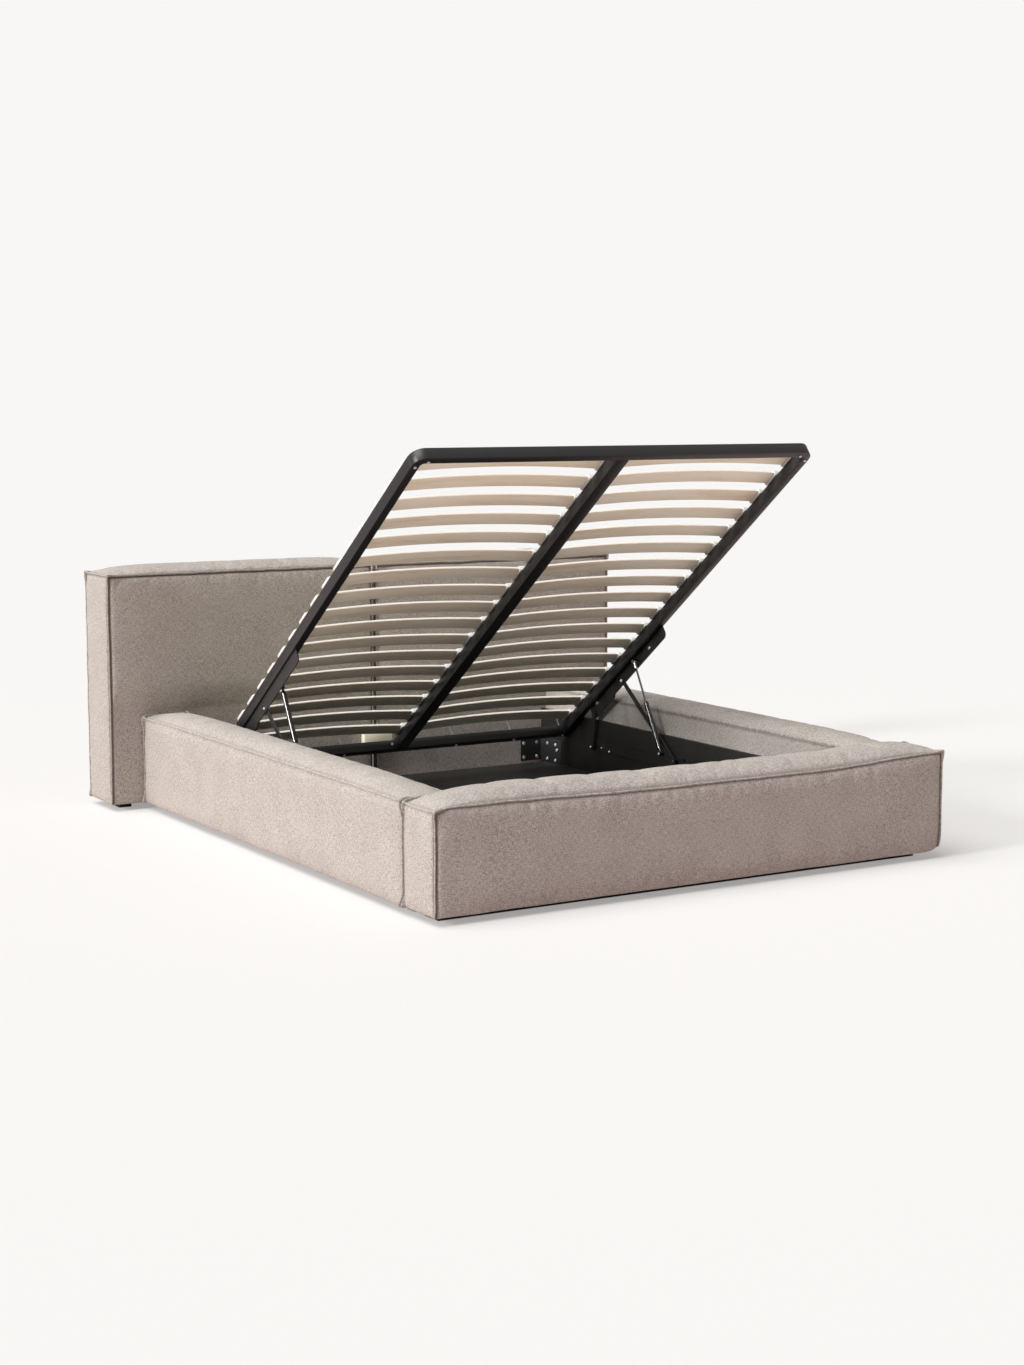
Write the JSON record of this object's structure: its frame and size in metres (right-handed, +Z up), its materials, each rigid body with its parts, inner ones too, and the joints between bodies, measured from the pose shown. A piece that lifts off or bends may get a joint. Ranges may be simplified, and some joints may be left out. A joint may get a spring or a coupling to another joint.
{
  "type": "upholstered storage bed",
  "caption": "Upholstered double bed whose sprung slatted frame lifts on links and gas struts over a storage box between padded rails and a wide padded headboard.",
  "frame": {"origin": "on the floor, under the middle of the bed with its slatted frame lifted", "axes": "+Z up, +Y towards the headboard along the bed's length, +X to the right seen from the foot"},
  "size_m": [2.2456, 2.503, 1.3993],
  "materials": {
    "fabric": "matte",
    "timber": "matte",
    "black_board": "matte",
    "black_steel": "satin",
    "chrome": "polished",
    "zinc": "satin",
    "birch": "satin",
    "holder_plastic": "matte",
    "foot_plastic": "matte"
  },
  "bodies": {
    "bed_base": {"headboard_left": "fabric", "headboard_right": "fabric", "headboard_core_left": "timber", "headboard_core_right": "timber", "headboard_foot_left": "foot_plastic", "headboard_foot_right": "foot_plastic", "side_rail_left": "fabric", "side_rail_right": "fabric", "side_rail_core_left": "timber", "side_rail_core_right": "timber", "side_foot_left": "foot_plastic", "side_foot_right": "foot_plastic", "foot_rail": "fabric", "foot_rail_core": "timber", "foot_plinth": "black_board", "side_board_left": "black_board", "side_board_right": "black_board", "foot_board": "black_board", "floor_ledge_left": "timber", "floor_ledge_right": "timber", "floor_panel_left": "black_board", "floor_panel_right": "black_board", "floor_beam": "timber", "corner_bracket_left": "black_steel", "corner_bracket_right": "black_steel", "rest_block": "birch", "lift_plate_left": "black_steel", "lift_plate_right": "black_steel"},
    "front_links": {"front_link_left": "black_steel", "front_link_right": "black_steel"},
    "slatted_frame": {"head_bar": "black_steel", "side_tube_left": "black_steel", "side_tube_right": "black_steel", "centre_tube": "black_steel", "foot_bar": "black_steel", "frame_bracket_left": "black_steel", "frame_bracket_right": "black_steel", "slat_row_01": "birch", "slat_row_02": "birch", "slat_row_03": "birch", "slat_row_04": "birch", "slat_row_05": "birch", "slat_row_06": "birch", "slat_row_07": "birch", "slat_row_08": "birch", "slat_row_09": "birch", "slat_row_10": "birch", "slat_row_11": "birch", "slat_row_12": "birch", "slat_row_13": "birch", "slat_row_14": "birch", "slat_row_15": "birch", "slat_row_16": "birch", "slat_row_17": "birch"},
    "rear_links": {"rear_link_left": "black_steel", "rear_link_right": "black_steel"},
    "strut_lower_ends": {"strut_cylinder_right": "black_steel", "strut_rod_left": "chrome"},
    "strut_upper_ends": {"strut_rod_right": "chrome", "strut_cylinder_left": "black_steel"}
  },
  "joints": [
    {"name": "lift", "type": "hinge", "parent": "bed_base", "child": "front_links", "pos_m": [0, 0.02298, 0.17409], "axis": [1, 0, 0], "range_deg": [-31.4, 0], "stiffness_Nm_per_rad": 150, "springref_deg": 57.3},
    {"name": "frame_tilt", "type": "hinge", "parent": "front_links", "child": "slatted_frame", "pos_m": [0, 0.37726, 0.44629], "axis": [1, 0, 0], "range_deg": [0, 68.5]},
    {"name": "rear_link_swing", "type": "hinge", "parent": "bed_base", "child": "rear_links", "pos_m": [0, 0.59658, 0.15174], "axis": [1, 0, 0], "range_deg": [-68, 0]},
    {"name": "strut_swing", "type": "hinge", "parent": "bed_base", "child": "strut_lower_ends", "pos_m": [0, 0.08428, 0.19619], "axis": [1, 0, 0], "range_deg": [-52.5, 0]},
    {"name": "strut_stroke", "type": "slide", "parent": "strut_lower_ends", "child": "strut_upper_ends", "axis": [0, 0.4884, 0.8726], "range_m": [-0.141, 0]}
  ],
  "couplings": [
    {"joint": "frame_tilt", "follows": "lift", "ratio": -2.1807},
    {"joint": "rear_link_swing", "follows": "lift", "ratio": 2.1651},
    {"joint": "strut_swing", "follows": "lift", "ratio": 1.6696},
    {"joint": "strut_stroke", "follows": "lift", "m_per_rad": 0.2572}
  ]
}
